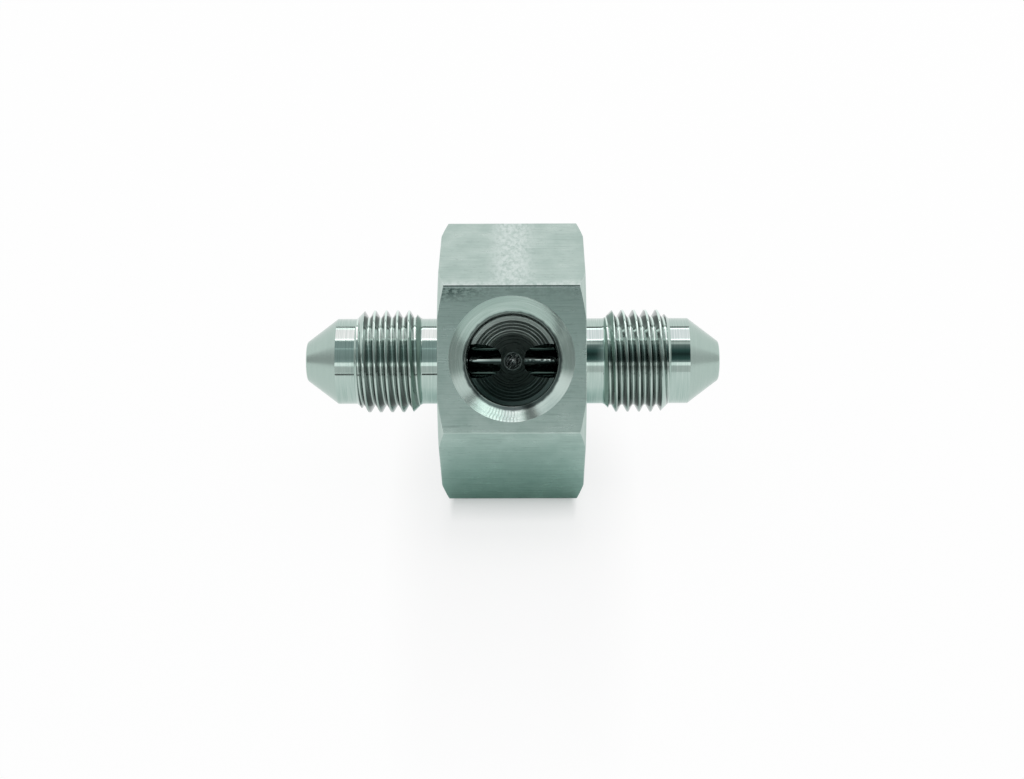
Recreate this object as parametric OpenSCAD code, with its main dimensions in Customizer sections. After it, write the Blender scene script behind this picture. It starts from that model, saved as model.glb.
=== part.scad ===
// Inline brake line adapter: two male 37 degree flare ends on one axis, and a
// hexagonal middle that is drilled through one flat for a threaded switch or gauge.
// It is turned and drilled from one length of stainless hexagonal bar.
// X runs along the flare ends, and the fitting rests on the hexagon flat below it.
// The origin is where the axis of the side port meets the axis of the through bore.

/* [Hexagon] */
// Width of the bar across its flats
hex_af = 22.225; // [20:0.1:26]
// Length of the hexagon along the bar
hex_l = 13; // [12.4:0.1:20]
// Amount that the chamfer takes off each corner's radius at the end face
corner_cut = 1.22; // [0.4:0.01:1.6]
// Angle of the corner chamfer, measured from the end face
corner_angle = 25; // [15:1:35]

/* [Flare ends] */
// Length of each flare end, from the hexagon's end face to the tip
flare_l = 12.6; // [12:0.1:20]
// Major diameter of the thread
thread_d = 9.525; // [9.2:0.005:10]
// Pitch of the thread, 24 threads to the inch
thread_pitch = 1.058; // [0.96:0.001:1.3]
// Depth of the thread, from crest to root
thread_depth = 0.6; // [0.3:0.01:0.68]
// Width of the flat at the root of the thread
thread_root = 0.15; // [0.06:0.01:0.22]
// Diameter of the plain nose between the thread and the cone
nose_d = 7.7; // [7.2:0.05:8.1]
// Length of the plain nose, between the thread's lead and the cone
nose_l = 1.75; // [1:0.05:2.1]
// Diameter of the relief neck between the hexagon and the thread
neck_d = 7.7; // [7.2:0.05:8.1]
// Length of the relief neck, from the hexagon to the foot of the thread
neck_l = 2; // [1.2:0.05:2.6]
// Angle of the lead at each end of the thread, measured from the axis
lead_angle = 45; // [40:1:60]
// Radius of the fillet between the relief neck and the hexagon
neck_fillet_r = 0.3; // [0.1:0.05:0.6]
// Half angle of the flare cone
cone_angle = 37; // [34:0.5:40]
// Radius that rounds the tip of the cone
tip_round_r = 0.3; // [0.1:0.05:0.4]
// Width of the flat ring left round the bore at the tip
tip_land = 0.05; // [0.02:0.01:0.2]

/* [Through bore] */
// Diameter of the fluid bore between the flare ends
bore_d = 3.175; // [2.6:0.005:3.4]

/* [Side port] */
// Drilled diameter of the port, on which the crests of its thread lie
port_d = 8.33; // [7.8:0.01:8.8]
// Distance that the drill point runs past the axis of the through bore
point_past_axis = 2.25; // [1.6:0.05:3.5]
// Included angle of the drill point
point_angle = 118; // [118:1:140]
// Diameter at which the countersink meets the edge break
countersink_d = 9.95; // [9.3:0.05:10.2]
// Included angle of the countersink
countersink_angle = 114; // [90:1:120]
// Diameter of the edge break where it meets the flat
edge_break_d = 11; // [10.4:0.05:11.4]
// Included angle of the edge break
edge_break_angle = 122; // [116:1:150]
// Pitch of the port's thread, 27 threads to the inch
tap_pitch = 0.941; // [0.86:0.001:1.1]
// Depth that the port's thread would have at the flat, from crest to root
tap_depth = 0.62; // [0.4:0.01:0.66]
// Width of the flat at the root of the port's thread
tap_root = 0.1; // [0.04:0.01:0.14]
// Distance from the flat to the last full turn of the port's thread
tap_reach = 7.4; // [5:0.1:8.4]
// Diameter of the small flat step that the drill leaves round its point
point_step_d = 1.7; // [1:0.1:2]
// Depth of that step below the drilled cone
point_step_depth = 0.15; // [0.05:0.05:0.3]

/* [Hidden] */

// Number of sides that round surfaces are drawn with
$fn = 96;
// Tilt from upright of the flat that the port leaves through
port_tilt = 60;
// Distance that each cutter runs on past the face that it cuts
overcut = 1;
// Angle between a thread's flank and the plane across its axis
flank_angle = 30;
// Change of the port thread's radius for each millimetre along its axis
tap_taper = 1 / 32;

half_hex_l = hex_l / 2;
end_x = half_hex_l + flare_l;
flat_r = hex_af / 2;
corner_r = flat_r / cos(30);
// The chamfer cone starts on the end face and is drawn on past the corners
chamfer_face_r = corner_r - corner_cut;
chamfer_outer_r = corner_r + overcut;
chamfer_outer_x = half_hex_l - (chamfer_outer_r - chamfer_face_r) * tan(corner_angle);

thread_r = thread_d / 2;
nose_r = nose_d / 2;
neck_r = neck_d / 2;
bore_r = bore_d / 2;

// The rounding of the tip touches the end plane and the flare cone
tip_round_x = end_x - tip_round_r;
tip_round_y = bore_r + tip_land;
cone_tip_x = tip_round_x + tip_round_r * sin(cone_angle);
cone_tip_r = tip_round_y + tip_round_r * cos(cone_angle);
cone_foot_x = cone_tip_x - (nose_r - cone_tip_r) / tan(cone_angle);
nose_start_x = cone_foot_x - nose_l;
thread_end_x = nose_start_x - (thread_r - nose_r) / tan(lead_angle);
neck_end_x = half_hex_l + neck_l;
thread_start_x = neck_end_x + (thread_r - neck_r) / tan(lead_angle);

// The grooves of the thread lie evenly about its middle, and run out into both leads
groove_count = round((nose_start_x - neck_end_x) / thread_pitch);
first_groove_x = (thread_start_x + thread_end_x - (groove_count - 1) * thread_pitch) / 2;

port_r = port_d / 2;
port_floor_z = port_r / tan(point_angle / 2) - point_past_axis;
countersink_r = countersink_d / 2;
edge_break_r = edge_break_d / 2;
edge_slope = tan(edge_break_angle / 2);
countersink_z = flat_r - (edge_break_r - countersink_r) / edge_slope;
port_mouth_z = countersink_z - (countersink_r - port_r) / tan(countersink_angle / 2);
point_step_r = point_step_d / 2;
point_step_z = point_step_r / tan(point_angle / 2) - point_past_axis - point_step_depth;

// The port's grooves start half a pitch below the countersink
first_tap_z = port_mouth_z - tap_pitch / 2;
tap_count = floor((tap_reach - flat_r + port_mouth_z) / tap_pitch);

// Turns the upright axis of a turned shape to lie along X
module along_x() {
    rotate([0, 90, 0]) children();
}

// Half section of one thread groove, from its root to an open side past the crests.
// The threads are drawn as closed rings, with the pitch, depth and form of the real ones.
module groove_section(root_r, root_width, side) {
    open_half = root_width / 2 + overcut * tan(flank_angle);
    polygon([
        [root_r, -root_width / 2],
        [root_r, root_width / 2],
        [root_r + side * overcut, open_half],
        [root_r + side * overcut, -open_half]
    ]);
}

// The hexagonal bar, with its corners turned off to a chamfer at both ends
module hexagon() {
    along_x() intersection() {
        rotate([0, 0, 30])
            cylinder(r = corner_r, h = hex_l, center = true, $fn = 6);
        rotate_extrude() polygon([
            [0, -half_hex_l],
            [chamfer_face_r, -half_hex_l],
            [chamfer_outer_r, -chamfer_outer_x],
            [chamfer_outer_r, chamfer_outer_x],
            [chamfer_face_r, half_hex_l],
            [0, half_hex_l]
        ]);
    }
}

// Half section of one flare end: neck, thread blank, nose, cone and tip
module flare_section() {
    polygon([
        [0, 0],
        [neck_r, 0],
        [neck_r, neck_end_x],
        [thread_r, thread_start_x],
        [thread_r, thread_end_x],
        [nose_r, nose_start_x],
        [nose_r, cone_foot_x],
        [cone_tip_r, cone_tip_x],
        [tip_round_y, tip_round_x],
        [tip_round_y, end_x],
        [0, end_x]
    ]);
    translate([tip_round_y, tip_round_x]) circle(r = tip_round_r);
}

// Half section of the fillet that joins the neck to the hexagon
module neck_fillet_section() {
    translate([neck_r, half_hex_l]) difference() {
        translate([-neck_fillet_r, -neck_fillet_r]) square(2 * neck_fillet_r);
        translate([neck_fillet_r, neck_fillet_r]) circle(r = neck_fillet_r);
    }
}

module flare_end() {
    along_x() rotate_extrude() {
        difference() {
            flare_section();
            for (i = [0 : groove_count - 1])
                translate([0, first_groove_x + i * thread_pitch])
                    groove_section(thread_r - thread_depth, thread_root, 1);
        }
        neck_fillet_section();
    }
}

// Half section of the drilled port, with its point, countersink and edge break
module port_section() {
    polygon([
        [0, -point_past_axis],
        [port_r, port_floor_z],
        [port_r, port_mouth_z],
        [countersink_r, countersink_z],
        [edge_break_r, flat_r],
        [edge_break_r + overcut * edge_slope, flat_r + overcut],
        [0, flat_r + overcut]
    ]);
}

// The port's thread, which gets shallower away from the flat
module tap_section() {
    for (i = [0 : tap_count - 1]) {
        groove_z = first_tap_z - i * tap_pitch;
        groove_r = port_r + tap_depth - (flat_r - groove_z) * tap_taper;
        translate([0, groove_z]) groove_section(groove_r, tap_root, -1);
    }
}

module port_cutter() {
    rotate([port_tilt, 0, 0]) {
        rotate_extrude() {
            port_section();
            tap_section();
        }
        translate([0, 0, point_step_z]) cylinder(r = point_step_r, h = overcut);
    }
}

module bore_cutter() {
    along_x() cylinder(r = bore_r, h = 2 * (end_x + overcut), center = true);
}

// The whole fitting, which is one piece of bar
module fitting_body() {
    color("lightsteelblue") difference() {
        union() {
            hexagon();
            flare_end();
            mirror([1, 0, 0]) flare_end();
        }
        port_cutter();
        bore_cutter();
    }
}

fitting_body();
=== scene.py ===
from math import atan, atan2, cos, pi, radians, sin, tan

import bpy
from mathutils import Matrix, Vector


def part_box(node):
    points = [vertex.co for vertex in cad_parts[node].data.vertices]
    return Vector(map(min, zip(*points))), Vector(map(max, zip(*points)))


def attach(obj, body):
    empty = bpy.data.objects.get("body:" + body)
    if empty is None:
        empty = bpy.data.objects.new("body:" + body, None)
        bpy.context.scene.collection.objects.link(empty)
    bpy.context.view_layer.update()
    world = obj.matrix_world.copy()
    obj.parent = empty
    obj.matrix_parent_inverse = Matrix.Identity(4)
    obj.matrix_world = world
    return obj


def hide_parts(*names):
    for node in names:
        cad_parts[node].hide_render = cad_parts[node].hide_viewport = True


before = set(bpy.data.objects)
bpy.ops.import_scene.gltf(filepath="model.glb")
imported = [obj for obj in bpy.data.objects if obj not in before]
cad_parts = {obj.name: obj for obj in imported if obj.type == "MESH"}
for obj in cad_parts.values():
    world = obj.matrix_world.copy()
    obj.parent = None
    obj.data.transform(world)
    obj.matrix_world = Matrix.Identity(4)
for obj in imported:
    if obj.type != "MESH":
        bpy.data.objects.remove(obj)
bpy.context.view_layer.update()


# The camera. It looks square on to the flat that the port leaves through, from a
# little under the port's axis, so more of the lower flat shows than of the top one.
camera_place = (0.00113, -0.14038, 0.07879)
camera_turn = (59.75, 0.34, 0.297)
lens_length = 60.67
film_width = 36
nearest_seen = 0.001
camera_data = bpy.data.cameras.new("camera")
camera_data.lens = lens_length
camera_data.sensor_width = film_width
camera_data.clip_start = nearest_seen
camera = bpy.data.objects.new("camera", camera_data)
camera.location = camera_place
camera.rotation_euler = [radians(angle) for angle in camera_turn]
bpy.context.scene.collection.objects.link(camera)
bpy.context.scene.camera = camera


# The hexagonal bar. It is a length of cold drawn stainless bar, so its flats carry
# fine lines along the bar. Both ends are faced in the lathe, and the corners of the
# hexagon are turned off to a shallow chamfer. Shapes are drawn in millimetres.
millimetres = 1000
low, high = [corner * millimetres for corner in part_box("fitting_body")]
flat_r = high.z
corner_r = flat_r / cos(pi / 6)
half_hex = 6.5
bar_edge_round = 0.08
bar_edge_steps = 4
corner_cut = 1.22
corner_slope = tan(radians(25))
round_sides = 192
steel = (0.445, 0.565, 0.515)
steel_shade = (0.375, 0.495, 0.45)
steel_light = (0.52, 0.63, 0.585)


def finish_of(tool, *materials):
    tool.data.materials.clear()
    for material in materials:
        tool.data.materials.append(material)


def slot_of(tool, material):
    return tool.data.materials.find(material.name)


def turned(name, stations, *materials, sides=round_sides):
    """A turned shape: a disc drawn out along Z, and widened or narrowed at each station."""
    bpy.ops.object.select_all(action="DESELECT")
    last_z, last_r = stations[0]
    bpy.ops.mesh.primitive_circle_add(
        vertices=sides, radius=last_r, fill_type="NGON", location=(0, 0, last_z))
    made = bpy.context.object
    made.name = name
    bpy.ops.object.transform_apply()
    bpy.ops.object.mode_set(mode="EDIT")
    bpy.ops.mesh.select_all(action="SELECT")
    for z, r in stations[1:]:
        bpy.ops.mesh.extrude_region_move(TRANSFORM_OT_translate={"value": (0, 0, z - last_z)})
        bpy.ops.transform.resize(value=(r / last_r, r / last_r, 1), center_override=(0, 0, z))
        last_z, last_r = z, r
    bpy.ops.mesh.select_all(action="SELECT")
    bpy.ops.mesh.normals_make_consistent(inside=False)
    bpy.ops.object.mode_set(mode="OBJECT")
    finish_of(made, *materials)
    return made


def point_along(tool, tilt, about):
    """Turns a shape that was drawn upright, and writes the turn into its mesh."""
    tool.rotation_euler["XYZ".index(about)] = radians(tilt)
    bpy.ops.object.select_all(action="DESELECT")
    tool.select_set(True)
    bpy.context.view_layer.objects.active = tool
    bpy.ops.object.transform_apply()


def combine(work, tool, how):
    """Cuts the tool from the work, joins them or keeps what they share. The tool is used up."""
    bpy.context.view_layer.objects.active = work
    step = work.modifiers.new(how, "BOOLEAN")
    step.operation = how
    step.solver = "EXACT"
    step.material_mode = "TRANSFER"
    step.object = tool
    bpy.ops.object.modifier_apply(modifier=step.name)
    bpy.data.objects.remove(tool)


class Finish:
    """A steel finish. Its nodes start from the object's own coordinates, in metres."""

    def __init__(self, name, tint=steel, roughness=0.3):
        self.material = bpy.data.materials.new(name)
        self.material.use_nodes = True
        self.tree = self.material.node_tree
        self.shader = self.tree.nodes["Principled BSDF"]
        self.shader.inputs["Base Color"].default_value = (*tint, 1)
        self.shader.inputs["Metallic"].default_value = 1
        self.shader.inputs["Roughness"].default_value = roughness
        self.place = self.node("ShaderNodeTexCoord").outputs["Object"]

    def node(self, kind, **settings):
        made = self.tree.nodes.new(kind)
        for name, value in settings.items():
            setattr(made, name, value)
        return made

    def feed(self, socket, value):
        if isinstance(value, bpy.types.NodeSocket):
            self.tree.links.new(value, socket)
        else:
            socket.default_value = value

    def paint(self, tint):
        self.feed(self.shader.inputs["Base Color"], tint)

    def polish(self, roughness):
        self.feed(self.shader.inputs["Roughness"], roughness)

    def sum(self, operation, *values, clamp=False):
        made = self.node("ShaderNodeMath", operation=operation, use_clamp=clamp)
        for socket, value in zip(made.inputs, values):
            self.feed(socket, value)
        return made.outputs[0]

    def times(self, product, *others):
        for other in others:
            product = self.sum("MULTIPLY", product, other)
        return product

    def plus(self, a, b):
        return self.sum("ADD", a, b)

    def less(self, a, b):
        return self.sum("SUBTRACT", a, b)

    def most(self, a, b):
        return self.sum("MAXIMUM", a, b)

    def size(self, value):
        return self.sum("ABSOLUTE", value)

    def distance(self, a, b):
        return self.sum("SQRT", self.plus(self.times(a, a), self.times(b, b)))

    def frame_at(self, scale=(1, 1, 1), turn=(0, 0, 0)):
        """The object's coordinates, turned and stretched."""
        made = self.node("ShaderNodeMapping")
        self.feed(made.inputs["Vector"], self.place)
        self.feed(made.inputs["Rotation"], turn)
        self.feed(made.inputs["Scale"], scale)
        return made.outputs[0]

    def axes(self, vector):
        made = self.node("ShaderNodeSeparateXYZ")
        self.feed(made.inputs[0], vector)
        return made.outputs

    def join(self, x, y, z):
        made = self.node("ShaderNodeCombineXYZ")
        for socket, value in zip(made.inputs, (x, y, z)):
            self.feed(socket, value)
        return made.outputs[0]

    def grain(self, vector, scale=1, detail=2, rough=0.5):
        made = self.node("ShaderNodeTexNoise")
        self.feed(made.inputs["Vector"], vector)
        self.feed(made.inputs["Scale"], scale)
        self.feed(made.inputs["Detail"], detail)
        self.feed(made.inputs["Roughness"], rough)
        return made.outputs["Fac"]

    def drawn_out(self, scales, detail=2, rough=0.5):
        """Grain with its own scale on each axis, along the bar and across it."""
        return self.grain(self.frame_at(scales), 1, detail, rough)

    def spread(self, value, low, high, to_low=0, to_high=1):
        made = self.node("ShaderNodeMapRange")
        self.feed(made.inputs["Value"], value)
        ends = {"From Min": low, "From Max": high, "To Min": to_low, "To Max": to_high}
        for name, end in ends.items():
            self.feed(made.inputs[name], end)
        return made.outputs["Result"]

    def blend_tint(self, share, tint_a, tint_b):
        made = self.node("ShaderNodeMix", data_type="RGBA")
        self.feed(made.inputs["Factor"], share)
        for name, tint in (("A", tint_a), ("B", tint_b)):
            socket = [s for s in made.inputs if s.name == name and s.type == "RGBA"][0]
            self.feed(socket, tint if isinstance(tint, bpy.types.NodeSocket) else (*tint, 1))
        return [s for s in made.outputs if s.type == "RGBA"][0]

    def raise_by(self, height, distance):
        made = self.node("ShaderNodeBump")
        self.feed(made.inputs["Height"], height)
        self.feed(made.inputs["Distance"], distance)
        self.feed(self.shader.inputs["Normal"], made.outputs[0])


# The flats: drawn lines and dull patches, with dark streaks and specks over them. A
# grain is given by how often it repeats in a metre along the bar, and across it
line_grain = (160, 9000, 9000)
streak_grain = (330, 5200, 5200)
speck_grain = (1900, 4200, 4200)
highlight_grain = (3000, 1500, 1500)
pit_grain = (2200, 3800, 3800)
mark_tint = (0.26, 0.35, 0.32)
# The tint of the top flat's painted highlight
highlight_tint = (0.64, 0.73, 0.7)
# The pits' tint, which also paints shade on the long edge between the top and port flats
pit_and_shade_tint = (0.07, 0.11, 0.1)
mark_strength = 0.45
pit_strength = 0.85
patch_scale = 420
line_height = 2e-6
drawn = Finish("drawn_flat")
lines = drawn.drawn_out(line_grain, 3, 0.6)
patches = drawn.grain(drawn.place, patch_scale, 3, 0.6)
wear = drawn.plus(drawn.times(lines, 0.5), drawn.times(patches, 0.5))
streaks = drawn.spread(drawn.drawn_out(streak_grain), 0.62, 0.7)
specks = drawn.spread(drawn.drawn_out(speck_grain, 3, 0.7), 0.6, 0.7)
marks = drawn.times(drawn.most(streaks, specks), mark_strength)
drawn_tint = drawn.blend_tint(drawn.spread(wear, 0.35, 0.65), steel_shade, steel_light)
marked_tint = drawn.blend_tint(marks, drawn_tint, mark_tint)

# The top flat carries a painted highlight across its middle and along its front edge,
# broken up by grain. A place's soft border lies between two distances in metres
top_flat = (0.0109, 0.011)
middle_band = (0.0008, 0.0024)
front_band = (-0.0062, -0.0052)
x, y, z = drawn.axes(drawn.place)
on_top = drawn.spread(z, *top_flat)
mid_highlight = drawn.spread(drawn.size(x), *middle_band, 1, 0)
edge_highlight = drawn.spread(y, *front_band, 1, 0)
highlight_marks = drawn.spread(drawn.drawn_out(highlight_grain, 3, 0.7), 0.35, 0.6)
highlighted = drawn.times(drawn.most(mid_highlight, edge_highlight), on_top, highlight_marks)
highlighted_tint = drawn.blend_tint(highlighted, marked_tint, highlight_tint)

# The port's flat is pitted along its upper edge, most of all to the left
flat_up_y, flat_up_z = 0.5, 0.866
upper_band = (0.0048, 0.006)
left_part = (-0.0052, -0.0015)
right_share = 0.22
front_side = (-0.0064, -0.0062)
up_the_flat = drawn.plus(drawn.times(y, flat_up_y), drawn.times(z, flat_up_z))
by_the_edge = drawn.spread(up_the_flat, *upper_band)
to_the_left = drawn.spread(x, *left_part, 1, right_share)
in_front = drawn.spread(y, *front_side, 1, 0)
pits = drawn.spread(drawn.drawn_out(pit_grain, 3, 0.7), 0.42, 0.56)
corner_wear = drawn.times(by_the_edge, to_the_left, in_front)
pitted = drawn.sum("MULTIPLY", corner_wear, drawn.less(pits, on_top), clamp=True)
drawn.paint(drawn.blend_tint(drawn.times(pitted, pit_strength), highlighted_tint, pit_and_shade_tint))
drawn.polish(drawn.spread(wear, 0.35, 0.65, 0.34, 0.26))
drawn.raise_by(lines, line_height)
drawn_flat = drawn.material

# A near black finish for the long edge between the top flat and the port's flat: painted shade
painted_shade_edge = Finish("painted_shade_edge", pit_and_shade_tint, 0.35).material

ring_scale = 9000
ring_wander = 400
faced_ring_height = 3e-6
faced = Finish("turned_face", roughness=0.3)
x, y, z = faced.axes(faced.place)
out_from_axis = faced.times(faced.distance(y, z), ring_scale)
rings = faced.grain(faced.join(out_from_axis, faced.times(x, ring_wander), 0))
faced.paint(faced.blend_tint(faced.spread(rings, 0.3, 0.7), steel_shade, steel_light))
faced.raise_by(rings, faced_ring_height)
turned_face = faced.material

bpy.ops.object.select_all(action="DESELECT")
bpy.ops.mesh.primitive_cylinder_add(vertices=6, radius=corner_r, depth=2 * half_hex)
fitting = bpy.context.object
fitting.name = "fitting_steel"
finish_of(fitting, drawn_flat, turned_face, painted_shade_edge)
bpy.ops.object.mode_set(mode="EDIT")
bpy.ops.mesh.select_all(action="DESELECT")
bpy.ops.object.mode_set(mode="OBJECT")
for edge in fitting.data.edges:
    a, b = [fitting.data.vertices[i].co for i in edge.vertices]
    edge.select = abs(a.z - b.z) > half_hex
bpy.ops.object.mode_set(mode="EDIT")
bpy.ops.mesh.bevel(offset=bar_edge_round, segments=bar_edge_steps, affect="EDGES")
bpy.ops.object.mode_set(mode="OBJECT")
square_on = 0.9
for face in fitting.data.polygons:
    at_end = abs(face.normal.z) > square_on
    face.material_index = slot_of(fitting, turned_face if at_end else drawn_flat)
point_along(fitting, 90, "Y")

# The long edge between the top flat and the port's flat gets a painted shade, near black
front_edge = Vector((0, -cos(pi / 3), sin(pi / 3)))
short_of_flats = radians(5)
for face in fitting.data.polygons:
    if face.normal.dot(front_edge) > cos(pi / 6 - short_of_flats):
        face.material_index = slot_of(fitting, painted_shade_edge)

# The chamfer's tool is turned a little, so its corners stay clear of the hexagon's
spare = 1
clear_of_corners = 0.7
face_r = corner_r - corner_cut
chamfer_reach = (corner_r + spare - face_r) * corner_slope
chamfer_tool = turned("chamfer_tool", [
    (-half_hex - spare, face_r - spare / corner_slope),
    (-half_hex + chamfer_reach, corner_r + spare),
    (half_hex - chamfer_reach, corner_r + spare),
    (half_hex + spare, face_r - spare / corner_slope),
], turned_face)
point_along(chamfer_tool, clear_of_corners, "Z")
point_along(chamfer_tool, 90, "Y")
combine(fitting, chamfer_tool, "INTERSECT")


# The two flare ends. Each is turned down from the bar: a relief neck with a fillet at
# the hexagon, the thread's blank with a lead at both ends, a plain nose and the cone
# that the tube's flare seats on. They are left bright from the tool.
end_x = high.x
thread_r = 4.7625
nose_r = 3.97
nose_length = 1.75
neck_length = 1.95
neck_fillet = 0.3
neck_end = half_hex + neck_length
cone = radians(37)
bore_r = 1.5875
tip_land = 0.05
tip_round = 0.3
tip_r = bore_r + tip_land
cone_tip_x = end_x - tip_round + tip_round * sin(cone)
cone_tip_r = tip_r + tip_round * cos(cone)
cone_foot_x = cone_tip_x - (nose_r - cone_tip_r) / tan(cone)
nose_start = cone_foot_x - nose_length
lead = thread_r - nose_r
lead_fillet = 0.5
lead_fillet_start = neck_end - lead_fillet * tan(pi / 8)
fillet_steps = 8
tip_steps = 6

stain_scale = 350
tool_mark_grain = (11000, 250, 250)
tool_mark_height = 5e-7
bright = Finish("bright_turned")
tool_marks = bright.drawn_out(tool_mark_grain)
stain = bright.grain(bright.place, stain_scale, 3)
bright.paint(bright.blend_tint(bright.spread(tool_marks, 0.25, 0.75), steel_shade, steel_light))
bright.polish(bright.spread(stain, 0.35, 0.7, 0.05, 0.14))
bright.raise_by(tool_marks, tool_mark_height)
bright_turned = bright.material

seat_shade = (0.35, 0.465, 0.42)
seat_light = (0.49, 0.595, 0.55)
seat_grain = (8000, 300, 300)
seat_mark_height = 4e-7
satin = Finish("cone_seat", roughness=0.2)
seat_marks = satin.drawn_out(seat_grain)
satin.paint(satin.blend_tint(satin.spread(seat_marks, -0.5, 1.5), seat_shade, seat_light))
satin.raise_by(seat_marks, seat_mark_height)
cone_seat = satin.material

# The root goes well into the bar, and the fillet starts a hair below the bar's face
root_depth = 1
fillet_foot = half_hex - 0.001
stations = [(half_hex - root_depth, nose_r + neck_fillet)]
for i in range(fillet_steps + 1):
    t = pi / 2 * i / fillet_steps
    stations.append((fillet_foot + neck_fillet * (1 - cos(t)), nose_r + neck_fillet * (1 - sin(t))))
for i in range(fillet_steps + 1):
    t = pi / 4 * i / fillet_steps
    stations.append((lead_fillet_start + lead_fillet * sin(t), nose_r + lead_fillet * (1 - cos(t))))
stations += [
    (neck_end + lead, thread_r),
    (nose_start - lead, thread_r),
    (nose_start, nose_r),
    (cone_foot_x, nose_r),
]
for i in range(tip_steps + 1):
    t = (pi / 2 - cone) * (1 - i / tip_steps)
    stations.append((end_x - tip_round + tip_round * cos(t), tip_r + tip_round * sin(t)))


# The thread of the flare ends, 3/8-24. It is cut with a single point tool, so it is
# a helical groove that runs out into the relief neck and into the lead at the nose.
# Its flanks mirror one another, so they look darker than its worn crests. Both also
# carry painted highlights and painted shade, in bands up the port's flat.
pitch = 25.4 / 24
groove_depth = 0.66
half_root = 0.062
root_corner = 0.025
crest_corner = 0.04
groove_out = 0.06
groove_steps = 120
groove_turns = 7
groove_start = {"right": 8.132, "left": 7.412}
port_tilt = 60


def grey(level, tint=(1, 1, 1)):
    return tuple(level * t for t in tint)


def bands(finish, value, stops):
    """Plain tones along a value from 0 to 1, each as its place and its red, green and blue."""
    made = finish.node("ShaderNodeValToRGB")
    finish.feed(made.inputs[0], value)
    ramp = made.color_ramp
    while len(ramp.elements) > 1:
        ramp.elements.remove(ramp.elements[0])
    for i, (place, tone) in enumerate(stops):
        stop = ramp.elements[0] if i == 0 else ramp.elements.new(place)
        stop.position = place
        stop.color = (*tone, 1)
    return made.outputs["Color"]


def port_axes(finish):
    """Places along the bar, up the port's flat and out of it, from the fitting's middle."""
    return finish.axes(finish.frame_at(turn=(radians(-port_tilt), 0, 0)))


# Painted light and shade on the thread: how bright it is at heights up the port's flat,
# in millimetres, in painted bright bands and painted shade. The flare end on the left
# and the one on the right are painted differently, as the light falls differently on them
tone_reach = 5
side_border = 0.001
flank_cast = (0.87, 1, 0.95)
crest_cast = (0.83, 1, 0.93)
flank_light_left = [
    (-4, 0.21), (-3.4, 0.25), (-2.65, 0.36), (-1.7, 0.45), (-1, 0.39), (0.1, 0.48),
    (1.35, 0.48), (1.5, 0.54), (2.1, 0.59), (2.8, 0.76), (3, 0.66), (3.4, 0.35), (4, 0.28),
]
flank_light_right = [
    (-4, 0.19), (-3.4, 0.22), (-2.65, 0.33), (-1.7, 0.43), (-1, 0.38), (-0.6, 0.32),
    (0.1, 0.32), (0.8, 0.43), (1.35, 0.48), (1.5, 0.54), (2.1, 0.62), (2.8, 0.66),
    (3, 0.56), (3.4, 0.32), (4, 0.27),
]
crest_light_left = [
    (-4, 0.45), (-3.4, 0.5), (-2.65, 0.6), (-1.7, 0.6), (-1, 0.55), (0.1, 0.6),
    (1.35, 0.62), (2.1, 0.58), (2.8, 0.78), (3.4, 0.85),
]
crest_light_right = [
    (-4, 0.42), (-3.4, 0.47), (-2.65, 0.58), (-1.7, 0.6), (-1, 0.55), (-0.6, 0.34),
    (0.1, 0.28), (0.8, 0.48), (1.35, 0.6), (2.1, 0.58), (2.8, 0.78), (3.4, 0.85),
]


def painted_light_tint(finish, tint, left, right):
    """Painted light and shade: a tint that changes with height up the port's flat, and from one end
    to the other.
    """
    x, up, _ = port_axes(finish)
    share = finish.spread(up, -tone_reach / millimetres, tone_reach / millimetres)
    ends = [bands(finish, share, [(0.5 + height / (2 * tone_reach), grey(level, tint))
                                  for height, level in tones]) for tones in (left, right)]
    return finish.blend_tint(finish.spread(x, -side_border, side_border), *ends)


tear_tint = (0.24, 0.28, 0.265)
tear_grain = (2500, 500, 500)
lead_tint = (0.33, 0.41, 0.375)
torn = Finish("thread_flank")
torn_marks = torn.drawn_out(tear_grain)
torn_share = torn.spread(torn_marks, 0.3, 0.7, 0, 0.25)
flank_tint = painted_light_tint(torn, flank_cast, flank_light_left, flank_light_right)
torn.paint(torn.blend_tint(torn_share, flank_tint, tear_tint))
torn.polish(torn.spread(torn_marks, 0.3, 0.7, 0.06, 0.14))
thread_flank = torn.material
crest = Finish("thread_crest", roughness=0.12)
crest.paint(painted_light_tint(crest, crest_cast, crest_light_left, crest_light_right))
thread_crest = crest.material
thread_lead = Finish("thread_lead", lead_tint, 0.12).material


def groove_tool(name, profile, pitch, turns, *materials):
    """A helical cutter about Z: the profile's corners, as radius and height, are swept upwards."""
    bpy.ops.object.select_all(action="DESELECT")
    bpy.ops.mesh.primitive_circle_add(vertices=len(profile), radius=1, fill_type="NOTHING")
    made = bpy.context.object
    made.name = name
    for vertex, (r, z) in zip(made.data.vertices, profile):
        vertex.co = (r, 0, z)
    sweep = made.modifiers.new("sweep", "SCREW")
    sweep.axis = "Z"
    sweep.steps = groove_steps
    sweep.render_steps = groove_steps
    sweep.angle = 2 * pi
    sweep.screw_offset = pitch
    sweep.iterations = turns
    bpy.ops.object.modifier_apply(modifier=sweep.name)
    bpy.ops.object.mode_set(mode="EDIT")
    bpy.ops.mesh.select_all(action="SELECT")
    bpy.ops.mesh.fill_holes(sides=0)
    bpy.ops.mesh.normals_make_consistent(inside=False)
    bpy.ops.object.mode_set(mode="OBJECT")
    finish_of(made, *materials)
    return made


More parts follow.
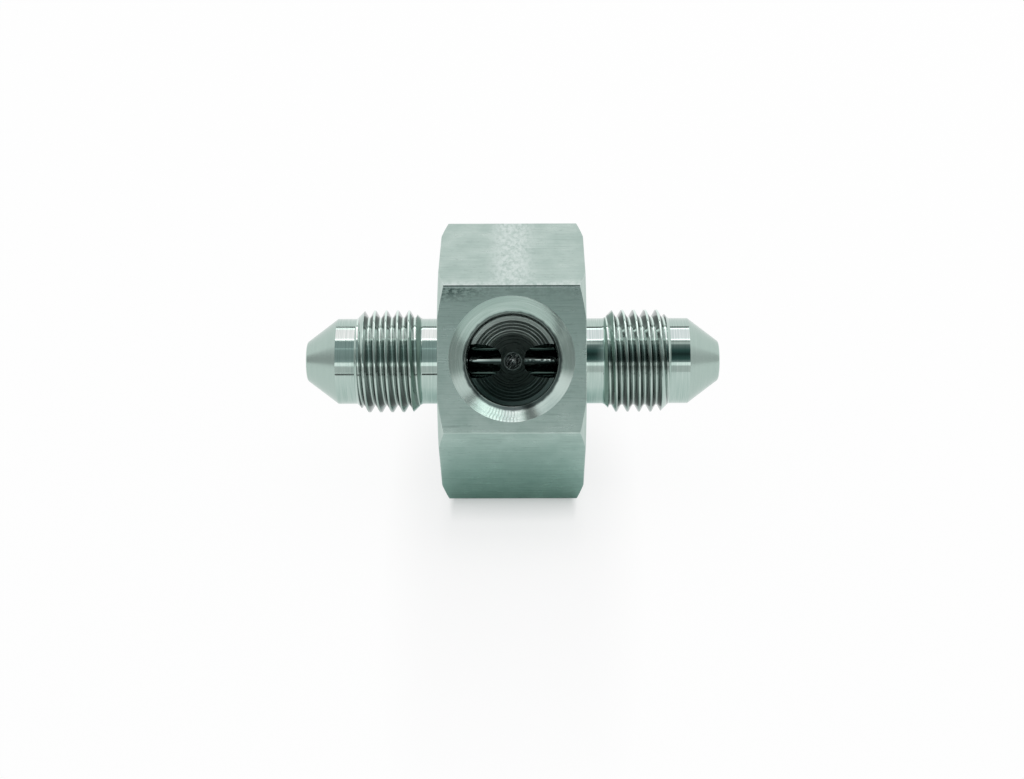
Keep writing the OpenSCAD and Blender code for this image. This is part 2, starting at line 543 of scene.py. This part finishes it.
root_r = thread_r - groove_depth
flank_rise = groove_depth - root_corner - crest_corner
half_foot = half_root + root_corner
half_shoulder = half_foot + flank_rise * tan(pi / 6)
half_open = half_shoulder + crest_corner + groove_out
groove_half = [
    (root_r, half_root),
    (root_r + root_corner, half_foot),
    (thread_r - crest_corner, half_shoulder),
    (thread_r + groove_out, half_open),
]
for side, turn_about in (("right", 0), ("left", 180)):
    middle = groove_start[side]
    profile = [(r, middle + half) for r, half in groove_half]
    profile += [(r, middle - half) for r, half in reversed(groove_half)]
    blank = turned("flare_" + side, stations, bright_turned, cone_seat, thread_crest, thread_lead)
    for face in blank.data.polygons:
        if cone_foot_x < face.center.z < end_x - tip_round:
            face.material_index = slot_of(blank, cone_seat)
        elif neck_end + lead < face.center.z < nose_start - lead:
            face.material_index = slot_of(blank, thread_crest)
        elif neck_end < face.center.z < neck_end + lead:
            face.material_index = slot_of(blank, thread_lead)
    groove = groove_tool("groove", profile, pitch, groove_turns, thread_flank, thread_crest)
    for face in groove.data.polygons:
        if not root_r + root_corner < face.center.xy.length < thread_r - crest_corner:
            face.material_index = slot_of(groove, thread_crest)
    combine(blank, groove, "DIFFERENCE")
    point_along(blank, 90, "Y")
    point_along(blank, turn_about, "Z")
    combine(fitting, blank, "UNION")


# The side port. It is drilled through one flat to just past the through bore, so the
# drill leaves a cone and a small step, then it is countersunk and tapped 1/8-27 with
# a taper tap. The edge break was cut a little off the port's centre.
port_r = 4.165
point_past_axis = 2.25
point_slope = tan(radians(59))
point_end_r = 0.02
step_r = 0.85
step_depth = 0.04
countersink_r = 4.975
countersink_slope = tan(radians(57))
edge_break_r = 5.5
edge_slope = tan(radians(61))
edge_shift = 0.05
step_floor = step_r / point_slope - point_past_axis - step_depth
port_floor = port_r / point_slope - point_past_axis
countersink_z = flat_r - (edge_break_r - countersink_r) / edge_slope
port_mouth = countersink_z - (countersink_r - port_r) / countersink_slope

# The tapped wall is tinted dark, as painted shade deep in the port
wall_shade_tint = (0.19, 0.24, 0.22)
wall_metal = 0.85
wall_mark_scale = 2500
tapped = Finish("port_wall", wall_shade_tint)
tapped.shader.inputs["Metallic"].default_value = wall_metal
tapped_marks = tapped.grain(tapped.place, wall_mark_scale, 3)
tapped.polish(tapped.spread(tapped_marks, 0.3, 0.7, 0.12, 0.3))
port_wall = tapped.material


def round_port(finish):
    """Distance from the port's axis, and the angle round it from the right, anticlockwise."""
    x, y, _ = port_axes(finish)
    return finish.distance(x, y), finish.sum("ARCTAN2", y, x)


# The drilled cone is tinted dark, as painted shade deep in the port. On the fine steps
# its lower side gets more painted shade and its upper side a painted highlight, and its
# rim a painted highlight, strongest at the top. The small step at its point is scratched bright
drill_shade = (0.18, 0.24, 0.22)
drill_light = (0.3, 0.37, 0.345)
rim_highlight_tint = (0.5, 0.62, 0.57)
step_highlight_tint = (0.5, 0.61, 0.565)
low_shade_tint = (0.2, 0.27, 0.25)
step_shade = (0.03, 0.04, 0.04)
step_shine = (0.85, 0.93, 0.9)
steps_from = (0.0024, 0.0026)
step_edge = (0.0007, 0.0008)
rim_from = (0.00405, 0.00409)
upper_side = (0.35, 0.8)
rim_below = 0.35
low_shade_turn = 0.35
low_shade_border = (-0.45, 0)
point_metal = 0.45
step_highlight_strength = 0.8
scratch_width = 1500
scratch_scale = 9000
point_ring_height = 0.15
step_scratch_height = 5
point_height = 1e-6
pointed = Finish("drill_point")
pointed.shader.inputs["Metallic"].default_value = point_metal
away, around = round_port(pointed)
drill_rings = pointed.grain(pointed.join(pointed.times(away, ring_scale), around, 0))
ringed = pointed.blend_tint(pointed.spread(drill_rings, 0.35, 0.65), drill_shade, drill_light)
on_steps = pointed.spread(away, *steps_from)
in_step = pointed.spread(away, *step_edge, 1, 0)
upper_share = pointed.spread(pointed.sum("SINE", pointed.plus(around, low_shade_turn)), *low_shade_border)
low_shade = pointed.times(on_steps, pointed.less(1, upper_share))
near_top = pointed.spread(pointed.sum("SINE", around), *upper_side)
on_rim = pointed.spread(away, *rim_from)
rim_highlight = pointed.times(on_rim, pointed.spread(near_top, 0, 1, rim_below, 1))
step_highlight = pointed.times(on_steps, near_top, step_highlight_strength)
x, y, _ = port_axes(pointed)
along_scratch = pointed.times(pointed.plus(x, y), scratch_width)
across_scratch = pointed.times(pointed.less(x, y), scratch_scale)
scratches = pointed.grain(pointed.join(along_scratch, across_scratch, 0))
rimmed = pointed.blend_tint(rim_highlight, ringed, rim_highlight_tint)
step_highlighted = pointed.blend_tint(step_highlight, rimmed, step_highlight_tint)
low_shaded = pointed.blend_tint(low_shade, step_highlighted, low_shade_tint)
scratched = pointed.blend_tint(pointed.spread(scratches, 0.5, 0.56), step_shade, step_shine)
pointed.paint(pointed.blend_tint(in_step, low_shaded, scratched))
pointed.polish(pointed.spread(drill_rings, 0.3, 0.7, 0.22, 0.36))
ring_height = pointed.times(drill_rings, pointed.plus(on_steps, point_ring_height))
scratch_height = pointed.times(scratches, pointed.times(in_step, step_scratch_height))
pointed.raise_by(pointed.plus(ring_height, scratch_height), point_height)
drill_point = pointed.material

# The countersink chattered below, where it left ticks, and is stained unevenly; its edge
# break is darker to the upper left. It has painted highlights to the lower right and lower
# left. Its inner rim is dark, and wider at the top
cut_shade = (0.34, 0.46, 0.415)
cut_light = (0.47, 0.58, 0.535)
tick_tint = (0.16, 0.21, 0.19)
stain_tint = (0.27, 0.38, 0.34)
sink_highlight_tint = (0.68, 0.8, 0.75)
dark_rim = (0.06, 0.085, 0.08)
cut_scale = 8000
stain_ring_scale = 2500
tick_count = 110
tick_turn = radians(100)
tick_reach = (0.2, 0.32)
stagger_at = (0.005, 0.0051)
stagger_by = 2
break_at = (0.00493, 0.00503)
rim_border = (0.0044, 0.00456)
tick_strength = 0.6
blotch_scale = 1600
blotch_reach = 0.00025
rim_lift = 0.00014
rim_lift_turn = radians(20)
cut_ring_height = 3
cut_height = 2e-6
sunk = Finish("countersink_face", roughness=0.2)
away, around = round_port(sunk)


def side_of_port(degrees, start, full, strength):
    """One side of the port, given by the angle round it, with soft ends."""
    turned_to = sunk.sum("COSINE", sunk.less(around, radians(degrees)))
    return sunk.spread(turned_to, start, full, 0, strength)


cut_rings = sunk.grain(sunk.join(sunk.times(away, cut_scale), around, 0))
cut_tint = sunk.blend_tint(sunk.spread(cut_rings, 0.25, 0.75), cut_shade, cut_light)
stagger = sunk.spread(away, *stagger_at, 0, stagger_by)
chatter = sunk.sum("SINE", sunk.plus(sunk.times(around, tick_count), stagger))
chatter_near = sunk.spread(sunk.size(sunk.plus(around, tick_turn)), *tick_reach, 1, 0)
ticks = sunk.times(sunk.spread(chatter, 0.2, 0.8), chatter_near)
ticked = sunk.blend_tint(sunk.times(ticks, tick_strength), cut_tint, tick_tint)
on_break = sunk.times(sunk.spread(away, *break_at), side_of_port(125, 0.6, 0.9, 0.6))
stain_place = sunk.join(sunk.times(away, stain_ring_scale), around, 1)
uneven = sunk.spread(sunk.grain(stain_place, 2, 3), 0.35, 0.65, 0, 0.35)
stained = sunk.blend_tint(sunk.most(on_break, uneven), ticked, stain_tint)
# Painted highlights to the lower right and lower left
lower_right = side_of_port(-42, 0.84, 0.92, 0.8)
lower_left = side_of_port(-148, 0.94, 0.98, 0.5)
sink_highlighted = sunk.blend_tint(sunk.most(lower_right, lower_left), stained, sink_highlight_tint)
blotches = sunk.times(sunk.grain(sunk.place, blotch_scale, 3), blotch_reach)
lift = sunk.times(sunk.sum("SINE", sunk.less(around, rim_lift_turn)), rim_lift)
clear_of_rim = sunk.spread(sunk.plus(away, sunk.plus(blotches, lift)), *rim_border)
sunk.paint(sunk.blend_tint(clear_of_rim, dark_rim, sink_highlighted))
sunk.raise_by(sunk.plus(sunk.times(cut_rings, cut_ring_height), ticks), cut_height)
countersink_face = sunk.material

# Fine steps that the drill's feed leaves on its cone, as distance from the port's
# axis, width and slope, and the wider ledge at the cone's rim
ledges = []
for ledge_r, ledge_width, ledge_tilt in (
        (2.67, 0.03, 9), (2.88, 0.07, 9), (3.22, 0.05, 9), (3.5, 0.05, 9),
        (3.8, 0.11, 9), (3.92, 0.12, 14), (4.05, 0.1, 9)):
    foot = ledge_r / point_slope - point_past_axis
    ledge_top = foot + ledge_width * tan(radians(ledge_tilt))
    ledges += [(foot, ledge_r), (ledge_top, ledge_r + ledge_width)]
port_tool = turned("port_tool", [
    (-point_past_axis, point_end_r),
    (step_floor, (step_floor + point_past_axis) * point_slope),
    (step_floor, step_r),
    (step_floor + step_depth, step_r),
    *ledges,
    (port_floor, port_r),
    (port_mouth, port_r),
    (countersink_z, countersink_r),
    (flat_r, edge_break_r),
    (flat_r + spare, edge_break_r + spare * edge_slope),
], port_wall, drill_point, countersink_face)
for face in port_tool.data.polygons:
    if face.center.z > port_mouth:
        face.material_index = slot_of(port_tool, countersink_face)
    elif face.center.z < port_floor:
        face.material_index = slot_of(port_tool, drill_point)
for vertex in port_tool.data.vertices:
    if vertex.co.z > countersink_z + edge_shift:
        vertex.co.y += edge_shift
point_along(port_tool, port_tilt, "X")
combine(fitting, port_tool, "DIFFERENCE")

tap_pitch = 25.4 / 27
tap_taper = 1 / 32
tap_depth = 0.66
tap_turns = 8
half_tap_root = 0.05
tap_inset = 0.05
half_tap_open = half_tap_root + (tap_depth + tap_inset) * tan(pi / 6)
tap_start = port_mouth - half_tap_open - tap_pitch * tap_turns
tap = groove_tool("tap", [
    (port_r + tap_depth, tap_start + half_tap_root),
    (port_r + tap_depth, tap_start - half_tap_root),
    (port_r - tap_inset, tap_start - half_tap_open),
    (port_r - tap_inset, tap_start + half_tap_open),
], tap_pitch, tap_turns, port_wall)
for vertex in tap.data.vertices:
    if vertex.co.xy.length > port_r:
        vertex.co.xy *= 1 - (flat_r - vertex.co.z) * tap_taper / port_r
point_along(tap, port_tilt, "X")
combine(fitting, tap, "DIFFERENCE")


# The through bore, which carries the fluid from one flare end to the other and meets
# the port at its drilled point. It is drilled from both ends on the fitting's axis. Its
# wall is tinted dark as painted shade, and a painted highlight runs along it, whole on the
# left and dotted on the right, with more painted shade beside it.
bore_sides = 96
bore_shade_tint = (0.24, 0.3, 0.28)
bore_shade = (0.05, 0.065, 0.06)
glint_inner = (0.26, 0.32, 0.3)
glint_outer = (0.75, 0.85, 0.81)
glint_gap = (0.07, 0.09, 0.085)
glint_up = 0.00006
glint_border = (0.00008, 0.00013)
shade_border = (0.0007, 0.0009)
outer_part = (0.002, 0.0042)
dotted_from = (0.0005, 0.001)
bore_grain = (7000, 300, 300)
dot_scale = 3600
bore_mark_height = 5e-7
drilled = Finish("bore_wall", roughness=0.04)
x, up, _ = port_axes(drilled)
# Painted highlight along the wall, with painted shade beside it
off_line = drilled.size(drilled.less(up, glint_up))
on_glint = drilled.spread(off_line, *glint_border, 1, 0)
beside_glint = drilled.spread(off_line, *shade_border, 1, 0)
out_along = drilled.spread(drilled.size(x), *outer_part)
glint_tint = drilled.blend_tint(out_along, glint_inner, glint_outer)
dots = drilled.spread(drilled.drawn_out((dot_scale,) * 3, 1), 0.42, 0.56, 1, 0)
dotted = drilled.times(dots, drilled.spread(x, *dotted_from))
broken_glint = drilled.blend_tint(dotted, glint_tint, glint_gap)
bore_shaded = drilled.blend_tint(beside_glint, bore_shade_tint, bore_shade)
drilled.paint(drilled.blend_tint(on_glint, bore_shaded, broken_glint))
drilled.raise_by(drilled.drawn_out(bore_grain), bore_mark_height)
bore_wall = drilled.material
bore_ends = [(-end_x - spare, bore_r), (end_x + spare, bore_r)]
bore = turned("bore", bore_ends, bore_wall, sides=bore_sides)
point_along(bore, 90, "Y")
combine(fitting, bore, "DIFFERENCE")


# The finished fitting is one piece of steel. Where two cuts cross they leave slivers
# with no area, which are taken out, and then the whole goes from millimetres to
# metres and is smoothed, apart from its sharp edges.
sliver = 0.001
smooth_below = radians(14)
bpy.ops.object.select_all(action="DESELECT")
fitting.select_set(True)
bpy.context.view_layer.objects.active = fitting
bpy.ops.object.mode_set(mode="EDIT")
bpy.ops.mesh.select_all(action="SELECT")
bpy.ops.mesh.quads_convert_to_tris(quad_method="BEAUTY", ngon_method="BEAUTY")
bpy.ops.mesh.dissolve_degenerate(threshold=sliver)
bpy.ops.object.mode_set(mode="OBJECT")
fitting.scale = (1 / millimetres,) * 3
bpy.ops.object.transform_apply()
bpy.ops.object.shade_smooth_by_angle(angle=smooth_below)

# The hexagon's flats are shaded flat, so the round edges beside them don't bend them
for polygon in fitting.data.polygons:
    facing = polygon.normal
    across_bar = abs(facing.x) < 0.001
    on_flat = across_bar and abs(sin(3 * atan2(facing.z, facing.y))) > 0.9995
    if on_flat and polygon.material_index == slot_of(fitting, drawn_flat):
        polygon.use_smooth = False

# The crests and roots of the flare threads are worn round, so no edge there is sharp
near = 0.003
crest_edges = (thread_r - near, thread_r + near)
root_edges = (root_r - near, root_r + near)
clear_of_leads = 0.03
first_x = (neck_end + lead + clear_of_leads) / millimetres
last_x = (nose_start - lead - clear_of_leads) / millimetres
for polygon in fitting.data.polygons:
    polygon.select = False
for vertex in fitting.data.vertices:
    vertex.select = False
for edge in fitting.data.edges:
    ends = [fitting.data.vertices[i].co for i in edge.vertices]
    radii = [end.yz.length * millimetres for end in ends]
    worn = any(low_r < min(radii) and max(radii) < high_r
               for low_r, high_r in (crest_edges, root_edges))
    edge.select = worn and all(first_x < abs(end.x) < last_x for end in ends)
bpy.ops.object.mode_set(mode="EDIT")
bpy.ops.mesh.select_mode(type="EDGE")
bpy.ops.mesh.mark_sharp(clear=True)
bpy.ops.object.mode_set(mode="OBJECT")
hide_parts("fitting_body")
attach(fitting, "root")


# The floor: a plain pale table that the fitting stands on. The camera and the steel
# both see it as near white, apart from the fitting's soft shadow, which is darkest
# where the fitting touches the table. Near the fitting less glow is mixed in, so the real
# shadow shows more, and the steel sees the floor there in a darker teal: painted shadow.
floor_size = 4
floor_tint = 0.92
floor_shadow_in_steel = (0.7, 0.85, 0.81)
glow_shadow_in_steel = (0.64, 0.89, 0.86)
shadow_reach = 0.045
contact_half = corner_r / 2 / millimetres
contact_end = 0.0054


def flat_panel(name, size, place, turn=(0, 0, 0)):
    """A flat part of the studio, with its size, place and turn written into its mesh."""
    bpy.ops.object.select_all(action="DESELECT")
    bpy.ops.mesh.primitive_plane_add(size=1)
    made = bpy.context.object
    made.name = name
    made.scale = (*size, 1)
    made.location = place
    made.rotation_euler = turn
    bpy.ops.object.transform_apply()
    return made


def glow_of(finish, tint, strength=1):
    """Light that a surface gives out by itself."""
    made = finish.node("ShaderNodeEmission")
    finish.feed(made.inputs["Color"], tint)
    finish.feed(made.inputs["Strength"], strength)
    return made.outputs[0]


def surface_of(finish, look):
    finish.feed(finish.tree.nodes["Material Output"].inputs["Surface"], look)


floor = flat_panel("floor", (floor_size, floor_size), (0, 0, low.z / millimetres))
table = Finish("floor_paint")
x, y, _ = table.axes(table.place)
past_y = table.spread(table.size(y), contact_half, contact_half + shadow_reach)


def apart(side_reach):
    """Distance from where the fitting stands, as a share of the shadow's reach."""
    past_x = table.spread(table.size(x), contact_end, contact_end + side_reach)
    return table.distance(past_x, past_y)


# Painted shadow: the glow's share falls near the fitting, for the camera and the steel
camera_share = bands(table, apart(shadow_reach / 7), [
    (0, grey(0.33)), (0.024, grey(0.5)), (0.087, grey(0.76)),
    (0.24, grey(0.81)), (0.42, grey(0.83)), (1, grey(0.95)),
])
steel_share = bands(table, apart(shadow_reach / 2), [
    (0, grey(0)), (0.044, grey(0.12)), (0.078, grey(0.28)),
    (0.133, grey(0.62)), (0.22, grey(0.78)), (1, grey(0.85)),
])
ray = table.node("ShaderNodeLightPath")
in_steel = table.most(ray.outputs["Is Glossy Ray"], ray.outputs["Is Transmission Ray"])
share = table.plus(table.times(ray.outputs["Is Camera Ray"], camera_share),
                   table.times(in_steel, steel_share))
# Painted shadow in the steel: the floor near the fitting turns a darker teal
shadowed_in_steel = table.times(in_steel, table.spread(steel_share, 0.1, 0.85, 1, 0))
matt = table.node("ShaderNodeBsdfDiffuse")
table.feed(matt.inputs["Color"], table.blend_tint(shadowed_in_steel, grey(floor_tint), floor_shadow_in_steel))
mixed = table.node("ShaderNodeMixShader")
table.feed(mixed.inputs[0], share)
table.feed(mixed.inputs[1], matt.outputs[0])
table.feed(mixed.inputs[2], glow_of(table, table.blend_tint(shadowed_in_steel, grey(1), glow_shadow_in_steel)))
surface_of(table, mixed.outputs[0])
floor.data.materials.append(table.material)


# The studio is a white tent, open at the front. The world is its walls, and the open
# front is a curved screen that stands for the unlit room. The camera doesn't see it.
tent_white = 0.98
world = bpy.data.worlds.new("studio")
bpy.context.scene.world = world
world.use_nodes = True
backdrop = world.node_tree.nodes["Background"]
backdrop.inputs["Color"].default_value = (*grey(tent_white), 1)


def unseen(prop):
    """Part of the studio that lights the fitting and shows in it, but not in the picture."""
    prop.visible_camera = False


room_r = 0.45
room_half = 0.9
room_sides = 48
room_low = atan(low.z / millimetres / room_r)
room_top = radians(86)
room = flat_panel("open_front", (1, 1), (0, 0, 0))
bpy.ops.object.mode_set(mode="EDIT")
bpy.ops.mesh.delete(type="VERT")
bpy.ops.object.mode_set(mode="OBJECT")
points, panels = [], []
for i in range(room_sides + 1):
    t = room_low + (room_top - room_low) * i / room_sides
    points += [(x, -room_r * cos(t), room_r * sin(t)) for x in (-room_half, room_half)]
    if i:
        panels.append((2 * i - 2, 2 * i - 1, 2 * i + 1, 2 * i))
room.data.from_pydata(points, [], panels)
unseen(room)

room_paint = Finish("open_front")
x, y, z = room_paint.axes(room_paint.place)
up_angle = room_paint.sum("ARCTAN2", z, room_paint.times(y, -1))
height = room_paint.sum("DIVIDE", up_angle, pi / 2)


def by_angle(stops):
    """The same tones, with their places given in degrees up from the table."""
    return bands(room_paint, height, [(angle / 90, tone) for angle, tone in stops])


teal = (0.84, 1, 1)
deep_teal = (0.5, 1, 0.95)
left_side = by_angle([
    (0, grey(0.67)), (16, grey(0.67)), (17, grey(1.3)), (25, grey(1.3)),
    (27, grey(0.42, teal)), (38, grey(0.34, teal)), (55, grey(0.39, teal)),
    (61, grey(0.42, teal)), (63.5, grey(0.78, teal)), (65, grey(0.42, teal)),
    (86, grey(0.42, teal)),
])
right_side = by_angle([
    (0, grey(0.67)), (16, grey(0.67)), (17, grey(1.25)), (24, grey(1.25)),
    (26, grey(0.3, teal)), (33, grey(0.1, deep_teal)), (47, grey(0.035, deep_teal)),
    (58, grey(0.1, deep_teal)), (72, grey(0.25, teal)), (77, grey(0.8)), (81, grey(0.5)),
    (86, grey(0.55)),
])
far_sides = by_angle([
    (0, grey(0.4)), (45, grey(0.38)), (65, grey(0.85)), (86, grey(0.9)),
])
right_from = (-0.01, 0.03)
right_until = (0.2, 0.3)
far_from = (0.2, 0.5)
window_x = 0.18
window_border = (0.06, 0.11)
window_strength = 1.7
aside = room_paint.size(x)
to_the_right = room_paint.spread(x, *right_from)
rightness = room_paint.times(to_the_right, room_paint.spread(aside, *right_until, 1, 0))
farness = room_paint.spread(aside, *far_from)
near_sides = room_paint.blend_tint(rightness, left_side, right_side)
room_tint = room_paint.blend_tint(farness, near_sides, far_sides)
from_window = room_paint.size(room_paint.less(x, window_x))
window = room_paint.spread(from_window, *window_border, window_strength, 1)
surface_of(room_paint, glow_of(room_paint, room_tint, window))
room.data.materials.append(room_paint.material)


# The two grey walls beside the tent. They are plain boards, lighter towards the top,
# and they darken the middle of the flare cones, which face them.
wall_low = low.z / millimetres
wall_deep = 0.6
wall_high = 0.4
wall_back = -0.15
wall_fade = 0.22
wall_top_level = 0.95
for side, side_x, level in (("left", -room_half, 0.5), ("right", room_half, 0.64)):
    wall_place = (side_x, wall_back, wall_low + wall_high / 2)
    wall = flat_panel("wall_" + side, (wall_high, wall_deep), wall_place, (0, pi / 2, 0))
    wall_paint = Finish("wall_" + side)
    _, _, z = wall_paint.axes(wall_paint.place)
    fade = wall_paint.spread(z, wall_high - wall_fade, wall_high, level, wall_top_level)
    surface_of(wall_paint, glow_of(wall_paint, wall_paint.join(fade, fade, fade)))
    wall.data.materials.append(wall_paint.material)
    unseen(wall)


# The tent's ceiling lights: soft panels overhead and a little behind, with a bright
# tube along their front and back edges. The left and middle panels have a pink tint,
# which takes away some of the steel's green.
lamp_far = 0.35
lamp_left = -0.062
lamp_middle = 0.053
lamp_right = 0.262
panel_deep = 39
front_tube_deep = 3.6
back_tube_deep = 4
tube_radiance = 1.5


def overhead(angle):
    """The way out from the fitting at an angle across the bar, counted up from the front."""
    return Vector((0, -cos(radians(angle)), sin(radians(angle))))


def deep_of(degrees):
    return 2 * lamp_far * tan(radians(degrees / 2))


def lamp(name, angle, left, right, degrees, radiance, tint=(1, 1, 1)):
    """An area lamp over the fitting, which faces it."""
    data = bpy.data.lights.new(name, "AREA")
    data.shape = "RECTANGLE"
    data.size = right - left
    data.size_y = deep_of(degrees)
    data.color = tint
    data.energy = radiance * data.size * data.size_y * pi
    made = bpy.data.objects.new(name, data)
    away = overhead(angle)
    across = away.cross((1, 0, 0))
    made.matrix_world = Matrix((across.cross(away), across, away)).transposed().to_4x4()
    made.location = away * lamp_far + Vector(((left + right) / 2, 0, 0))
    bpy.context.scene.collection.objects.link(made)


lamp("panel_left", 107.5, lamp_left, 0, panel_deep, 0.75, (1, 0.6, 0.72))
lamp("panel_middle", 105, 0, lamp_middle, panel_deep, 0.41, (1, 0.61, 0.83))
lamp("panel_right", 105, lamp_middle, lamp_right, panel_deep, 0.65)
lamp("front_tube_left", 90, lamp_left, 0, front_tube_deep, tube_radiance)
lamp("front_tube_right", 87.5, 0, lamp_right, front_tube_deep, tube_radiance)
lamp("back_tube_left", 128, lamp_left, 0, back_tube_deep, tube_radiance)
lamp("back_tube_right", 125, 0, lamp_right, back_tube_deep, tube_radiance)


# What is dark between the lights: the rail that carries the back tube, a stand at
# each side of the panels and, to the left, the shaded front edge of the table.
behind_lamps = 0.01
rail_level = 0.2
stand_level = 0.1


def only_in_gloss(prop):
    """Part of the studio that shows in the steel, but lights nothing and casts no shadow."""
    prop.visible_diffuse = False
    prop.visible_shadow = False
    unseen(prop)


def dark_strip(name, angle, left, right, degrees, level):
    place = overhead(angle) * (lamp_far + behind_lamps) + Vector(((left + right) / 2, 0, 0))
    tilt = (-radians(angle - 90), 0, 0)
    made = flat_panel(name, (right - left, deep_of(degrees)), place, tilt)
    paint = Finish(name)
    surface_of(paint, glow_of(paint, (*grey(level), 1)))
    made.data.materials.append(paint.material)
    only_in_gloss(made)


dark_strip("rail_left", 134.5, -0.4, 0, 6, rail_level)
dark_strip("rail_right", 131.5, 0, 0.4, 6, rail_level)
dark_strip("stand_left", 100, -0.15, -0.08, 50, stand_level)
dark_strip("stand_right", 100, 0.264, 0.34, 50, stand_level)

edge_near = -0.08
edge_far = -0.175
edge_length = 0.3
edge_x = -0.154
above_table = 0.0002
edge_place = (edge_x, (edge_near + edge_far) / 2, low.z / millimetres + above_table)
table_edge = flat_panel("table_edge", (edge_length, edge_near - edge_far), edge_place)
table_edge.data.materials.append(bpy.data.materials["stand_left"])
only_in_gloss(table_edge)

bpy.context.scene.view_settings.view_transform = "Standard"
